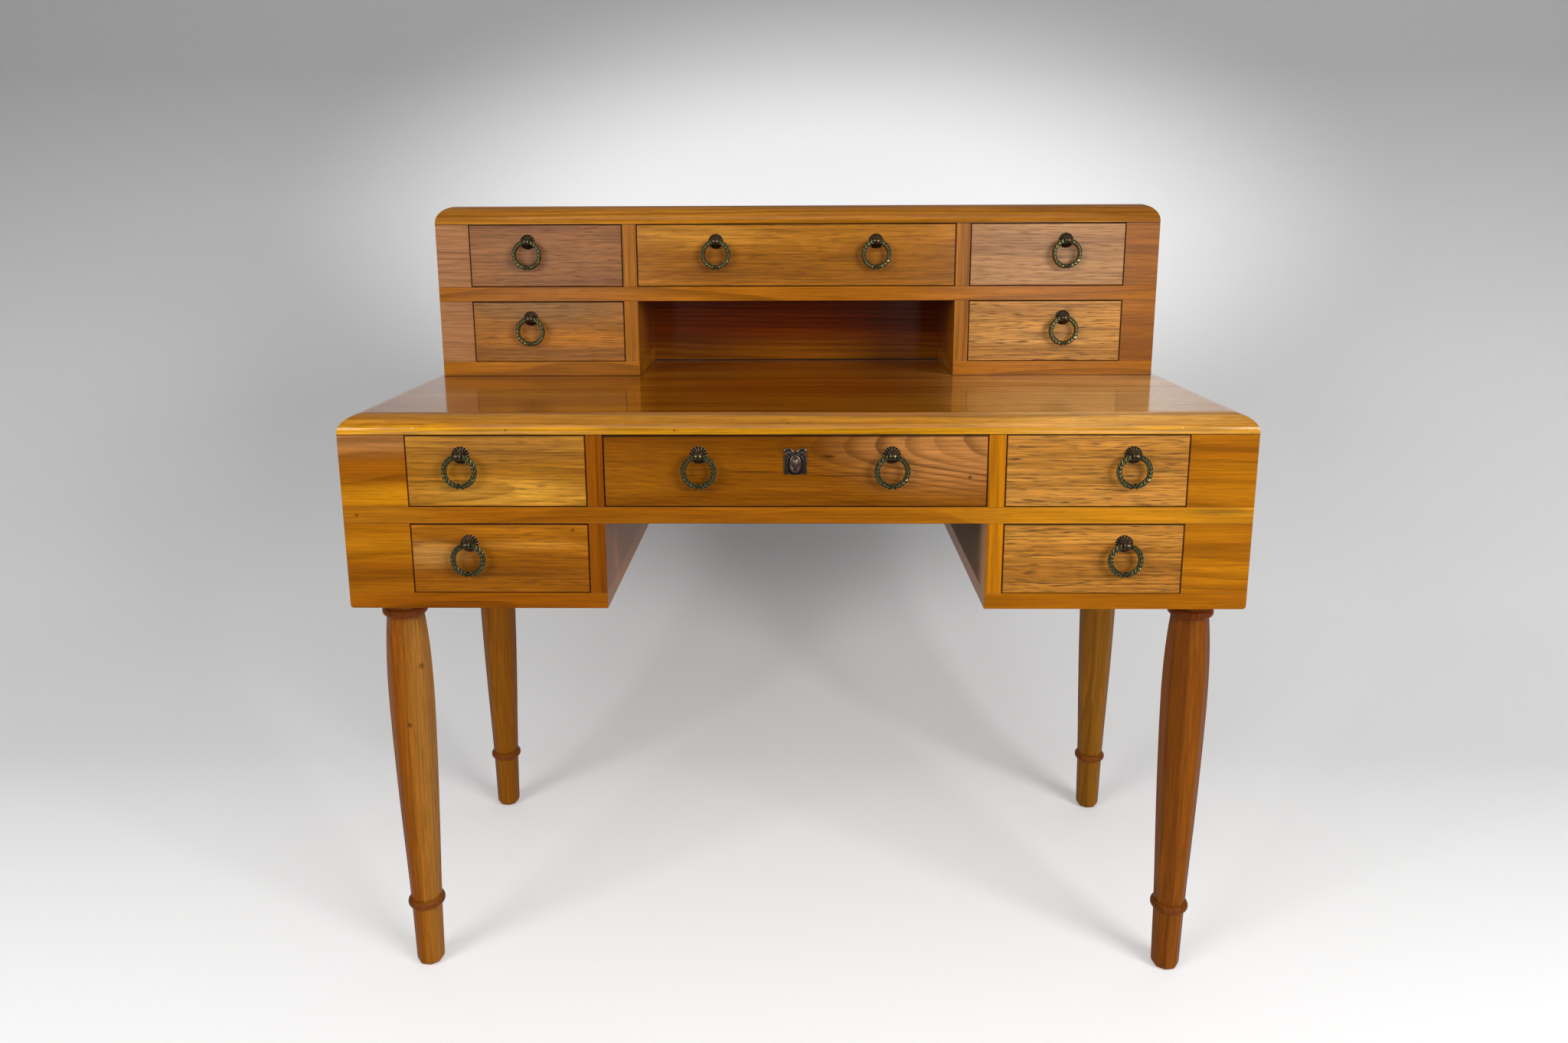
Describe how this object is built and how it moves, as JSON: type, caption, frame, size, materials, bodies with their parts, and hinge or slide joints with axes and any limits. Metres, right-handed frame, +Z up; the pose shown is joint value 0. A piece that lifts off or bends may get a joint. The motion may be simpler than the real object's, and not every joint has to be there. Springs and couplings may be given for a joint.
{
  "type": "writing desk with drawer gallery",
  "caption": "Polished wooden writing desk on faceted baluster legs, with a drawer case around a knee-hole, a drawer gallery with an open niche, and cast ring pulls.",
  "frame": {"origin": "on the floor, under the middle of the desk's bounding box with its ring pulls", "axes": "+X along the desk's width to the right as seen from its front, +Y from the front to the back, +Z up"},
  "size_m": [1.06, 0.546, 0.987],
  "materials": {
    "top_wood": "gloss polish, grain along the width",
    "frame_wood": "gloss polish, orange brown",
    "side_wood": "gloss polish",
    "drawer_wood": "gloss polish on the fronts, bare wood inside",
    "leg_wood": "gloss polish, darker on the beads and collars",
    "inner_wood": "bare secondary wood",
    "patinated_bronze": "cast, dark green-brown patina with rubbed high spots",
    "lock_iron": "dull, oiled"
  },
  "bodies": {
    "carcass": {"desktop": "top_wood", "case_left_side": "side_wood", "case_right_side": "side_wood", "case_drawer_guides": "inner_wood", "case_end_blocks": "frame_wood", "case_rail_board": "frame_wood", "case_bottom_boards": "frame_wood", "case_left_partitions": "frame_wood", "case_right_partitions": "frame_wood", "case_back_panels": "inner_wood", "leg_front_left": "leg_wood", "leg_front_right": "leg_wood", "leg_back_left": "leg_wood", "leg_back_right": "leg_wood", "gallery_top": "top_wood", "gallery_left_side": "side_wood", "gallery_right_side": "side_wood", "gallery_end_blocks": "frame_wood", "gallery_drawer_guides": "inner_wood", "gallery_base_boards": "frame_wood", "gallery_rail_board": "frame_wood", "gallery_left_partitions": "frame_wood", "gallery_right_partitions": "frame_wood", "gallery_back_panel": "inner_wood"},
    "case_upper_left_drawer": {"case_upper_left_drawer": "drawer_wood", "case_upper_left_rosette": "patinated_bronze"},
    "case_upper_left_ring": {"case_upper_left_ring": "patinated_bronze"},
    "case_upper_right_drawer": {"case_upper_right_drawer": "drawer_wood", "case_upper_right_rosette": "patinated_bronze"},
    "case_upper_right_ring": {"case_upper_right_ring": "patinated_bronze"},
    "case_centre_drawer": {"case_centre_drawer": "drawer_wood", "case_centre_rosette": "patinated_bronze", "escutcheon": "patinated_bronze", "lock_case": "lock_iron"},
    "case_centre_ring_left": {"case_centre_ring_left": "patinated_bronze"},
    "case_centre_ring_right": {"case_centre_ring_right": "patinated_bronze"},
    "case_lower_left_drawer": {"case_lower_left_drawer": "drawer_wood", "case_lower_left_rosette": "patinated_bronze"},
    "case_lower_left_ring": {"case_lower_left_ring": "patinated_bronze"},
    "case_lower_right_drawer": {"case_lower_right_drawer": "drawer_wood", "case_lower_right_rosette": "patinated_bronze"},
    "case_lower_right_ring": {"case_lower_right_ring": "patinated_bronze"},
    "gallery_upper_left_drawer": {"gallery_upper_left_drawer": "drawer_wood", "gallery_upper_left_rosette": "patinated_bronze"},
    "gallery_upper_left_ring": {"gallery_upper_left_ring": "patinated_bronze"},
    "gallery_upper_right_drawer": {"gallery_upper_right_drawer": "drawer_wood", "gallery_upper_right_rosette": "patinated_bronze"},
    "gallery_upper_right_ring": {"gallery_upper_right_ring": "patinated_bronze"},
    "gallery_centre_drawer": {"gallery_centre_drawer": "drawer_wood", "gallery_centre_rosette": "patinated_bronze"},
    "gallery_centre_ring_left": {"gallery_centre_ring_left": "patinated_bronze"},
    "gallery_centre_ring_right": {"gallery_centre_ring_right": "patinated_bronze"},
    "gallery_lower_left_drawer": {"gallery_lower_left_drawer": "drawer_wood", "gallery_lower_left_rosette": "patinated_bronze"},
    "gallery_lower_left_ring": {"gallery_lower_left_ring": "patinated_bronze"},
    "gallery_lower_right_drawer": {"gallery_lower_right_drawer": "drawer_wood", "gallery_lower_right_rosette": "patinated_bronze"},
    "gallery_lower_right_ring": {"gallery_lower_right_ring": "patinated_bronze"},
    "keyhole_cover": {"keyhole_cover": "patinated_bronze"},
    "lock_bolt": {"lock_bolt": "lock_iron"}
  },
  "joints": [
    {"name": "case_upper_left_drawer_slide", "type": "slide", "parent": "carcass", "child": "case_upper_left_drawer", "axis": [0, -1, 0], "range_m": [0, 0.3]},
    {"name": "case_upper_left_ring_swing", "type": "hinge", "parent": "case_upper_left_drawer", "child": "case_upper_left_ring", "pos_m": [-0.38725, -0.267, 0.70392], "axis": [-1, 0, 0], "range_deg": [0, 95]},
    {"name": "case_upper_right_drawer_slide", "type": "slide", "parent": "carcass", "child": "case_upper_right_drawer", "axis": [0, -1, 0], "range_m": [0, 0.3]},
    {"name": "case_upper_right_ring_swing", "type": "hinge", "parent": "case_upper_right_drawer", "child": "case_upper_right_ring", "pos_m": [0.38725, -0.267, 0.70392], "axis": [-1, 0, 0], "range_deg": [0, 95]},
    {"name": "case_centre_drawer_slide", "type": "slide", "parent": "carcass", "child": "case_centre_drawer", "axis": [0, -1, 0], "range_m": [0, 0.3]},
    {"name": "case_centre_ring_left_swing", "type": "hinge", "parent": "case_centre_drawer", "child": "case_centre_ring_left", "pos_m": [-0.11125, -0.267, 0.70392], "axis": [-1, 0, 0], "range_deg": [0, 95]},
    {"name": "case_centre_ring_right_swing", "type": "hinge", "parent": "case_centre_drawer", "child": "case_centre_ring_right", "pos_m": [0.11125, -0.267, 0.70392], "axis": [-1, 0, 0], "range_deg": [0, 95]},
    {"name": "case_lower_left_drawer_slide", "type": "slide", "parent": "carcass", "child": "case_lower_left_drawer", "axis": [0, -1, 0], "range_m": [0, 0.3]},
    {"name": "case_lower_left_ring_swing", "type": "hinge", "parent": "case_lower_left_drawer", "child": "case_lower_left_ring", "pos_m": [-0.38304, -0.267, 0.5982], "axis": [-1, 0, 0], "range_deg": [0, 95]},
    {"name": "case_lower_right_drawer_slide", "type": "slide", "parent": "carcass", "child": "case_lower_right_drawer", "axis": [0, -1, 0], "range_m": [0, 0.3]},
    {"name": "case_lower_right_ring_swing", "type": "hinge", "parent": "case_lower_right_drawer", "child": "case_lower_right_ring", "pos_m": [0.38304, -0.267, 0.5982], "axis": [-1, 0, 0], "range_deg": [0, 95]},
    {"name": "gallery_upper_left_drawer_slide", "type": "slide", "parent": "carcass", "child": "gallery_upper_left_drawer", "axis": [0, -1, 0], "range_m": [0, 0.115]},
    {"name": "gallery_upper_left_ring_swing", "type": "hinge", "parent": "gallery_upper_left_drawer", "child": "gallery_upper_left_ring", "pos_m": [-0.37392, 0.061, 0.93828], "axis": [-1, 0, 0], "range_deg": [0, 95]},
    {"name": "gallery_upper_right_drawer_slide", "type": "slide", "parent": "carcass", "child": "gallery_upper_right_drawer", "axis": [0, -1, 0], "range_m": [0, 0.115]},
    {"name": "gallery_upper_right_ring_swing", "type": "hinge", "parent": "gallery_upper_right_drawer", "child": "gallery_upper_right_ring", "pos_m": [0.37392, 0.061, 0.93828], "axis": [-1, 0, 0], "range_deg": [0, 95]},
    {"name": "gallery_centre_drawer_slide", "type": "slide", "parent": "carcass", "child": "gallery_centre_drawer", "axis": [0, -1, 0], "range_m": [0, 0.115]},
    {"name": "gallery_centre_ring_left_swing", "type": "hinge", "parent": "gallery_centre_drawer", "child": "gallery_centre_ring_left", "pos_m": [-0.11125, 0.061, 0.93828], "axis": [-1, 0, 0], "range_deg": [0, 95]},
    {"name": "gallery_centre_ring_right_swing", "type": "hinge", "parent": "gallery_centre_drawer", "child": "gallery_centre_ring_right", "pos_m": [0.11125, 0.061, 0.93828], "axis": [-1, 0, 0], "range_deg": [0, 95]},
    {"name": "gallery_lower_left_drawer_slide", "type": "slide", "parent": "carcass", "child": "gallery_lower_left_drawer", "axis": [0, -1, 0], "range_m": [0, 0.115]},
    {"name": "gallery_lower_left_ring_swing", "type": "hinge", "parent": "gallery_lower_left_drawer", "child": "gallery_lower_left_ring", "pos_m": [-0.37392, 0.061, 0.83206], "axis": [-1, 0, 0], "range_deg": [0, 95]},
    {"name": "gallery_lower_right_drawer_slide", "type": "slide", "parent": "carcass", "child": "gallery_lower_right_drawer", "axis": [0, -1, 0], "range_m": [0, 0.115]},
    {"name": "gallery_lower_right_ring_swing", "type": "hinge", "parent": "gallery_lower_right_drawer", "child": "gallery_lower_right_ring", "pos_m": [0.37392, 0.061, 0.83206], "axis": [-1, 0, 0], "range_deg": [0, 95]},
    {"name": "keyhole_cover_swing", "type": "hinge", "parent": "case_centre_drawer", "child": "keyhole_cover", "pos_m": [0, -0.2594, 0.70019], "axis": [0, -1, 0], "range_deg": [0, 100]},
    {"name": "lock_bolt_throw", "type": "slide", "parent": "case_centre_drawer", "child": "lock_bolt", "axis": [0, 0, 1], "range_m": [0, 0.008]}
  ]
}
